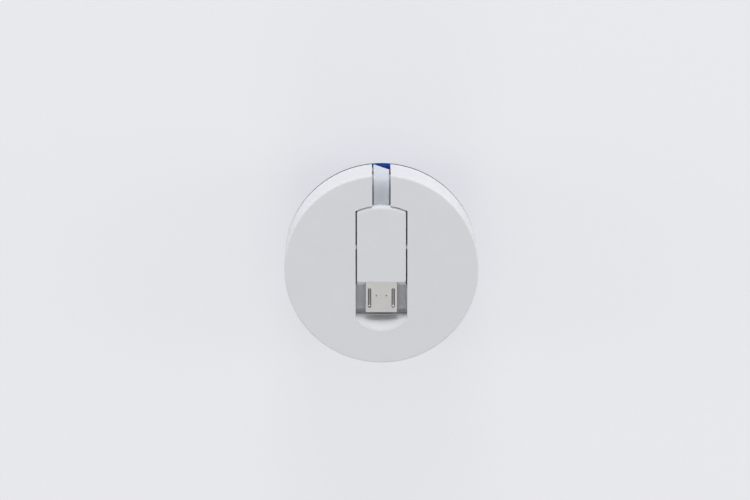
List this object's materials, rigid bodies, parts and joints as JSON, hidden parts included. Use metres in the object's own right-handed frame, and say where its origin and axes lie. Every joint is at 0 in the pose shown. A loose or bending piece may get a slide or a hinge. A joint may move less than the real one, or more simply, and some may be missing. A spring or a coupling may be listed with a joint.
{
  "type": "retractable charging cable",
  "caption": "Round pocket-size case with a spring reel of flat charging cable; a small plug folds into a recess in the face and a wide plug into the back.",
  "frame": {"origin": "centre of the back face, on the surface that the case lies on", "axes": "+Z is the case axis, out of the face; +Y points to the rim slot of the front ribbon; +X is to the right, seen from the face"},
  "size_m": [0.042, 0.042, 0.023],
  "materials": {
    "white_case": "fine matt moulded white",
    "blue_case": "fine matt moulded blue",
    "white_plug": "fine matt moulded white",
    "plug_metal": "nickel-plated, finely brushed along the plug",
    "spring_steel": "plain spring steel",
    "screw_steel": "zinc-plated",
    "gold_contact": "gold-plated",
    "dark_insulator": "black moulded",
    "white_insulator": "white moulded",
    "reel_plastic": "grey moulded",
    "ribbon_jacket": "pale bluish soft jacket, satin",
    "ball_steel": "polished bearing steel"
  },
  "bodies": {
    "case": {"front_shell": "white_case", "back_shell": "blue_case", "centre_screw": "screw_steel", "mainspring": "spring_steel", "front_ribbon_exit": "ribbon_jacket", "back_ribbon_exit": "ribbon_jacket", "front_ribbon_bend": "ribbon_jacket", "back_ribbon_bend": "ribbon_jacket"},
    "reel": {"reel_spool": "reel_plastic", "spring_cover": "reel_plastic", "ribbon_roll": "ribbon_jacket"},
    "front_plug": {"micro_plug_body": "white_plug", "micro_shell": "plug_metal", "micro_insulator": "dark_insulator", "micro_contacts": "gold_contact", "micro_latches": "spring_steel", "front_ribbon_run": "ribbon_jacket"},
    "back_plug": {"wide_plug_body": "white_plug", "wide_shell": "plug_metal", "wide_tongue": "white_insulator", "wide_contacts": "gold_contact", "back_ribbon_run": "ribbon_jacket"},
    "lock": {"lock_ball": "ball_steel"}
  },
  "joints": [
    {"name": "front_plug_flip", "type": "hinge", "parent": "case", "child": "front_plug", "pos_m": [0, 0.0225, 0.023], "axis": [-1, 0, 0], "range_deg": [0, 120]},
    {"name": "back_plug_flip", "type": "hinge", "parent": "case", "child": "back_plug", "pos_m": [0, -0.02064, 0], "axis": [-1, 0, 0], "range_deg": [0, 120]},
    {"name": "reel_spin", "type": "hinge", "parent": "case", "child": "reel", "pos_m": [0, 0, 0.0122], "axis": [0, 0, -1], "range_deg": [0, 1440], "stiffness_Nm_per_rad": 0.0002, "springref_deg": -458.37, "deforming": ["mainspring"]},
    {"name": "lock_ball_slide", "type": "slide", "parent": "case", "child": "lock", "axis": [0, 1, 0], "range_m": [-0.0005, 0.0005]}
  ]
}
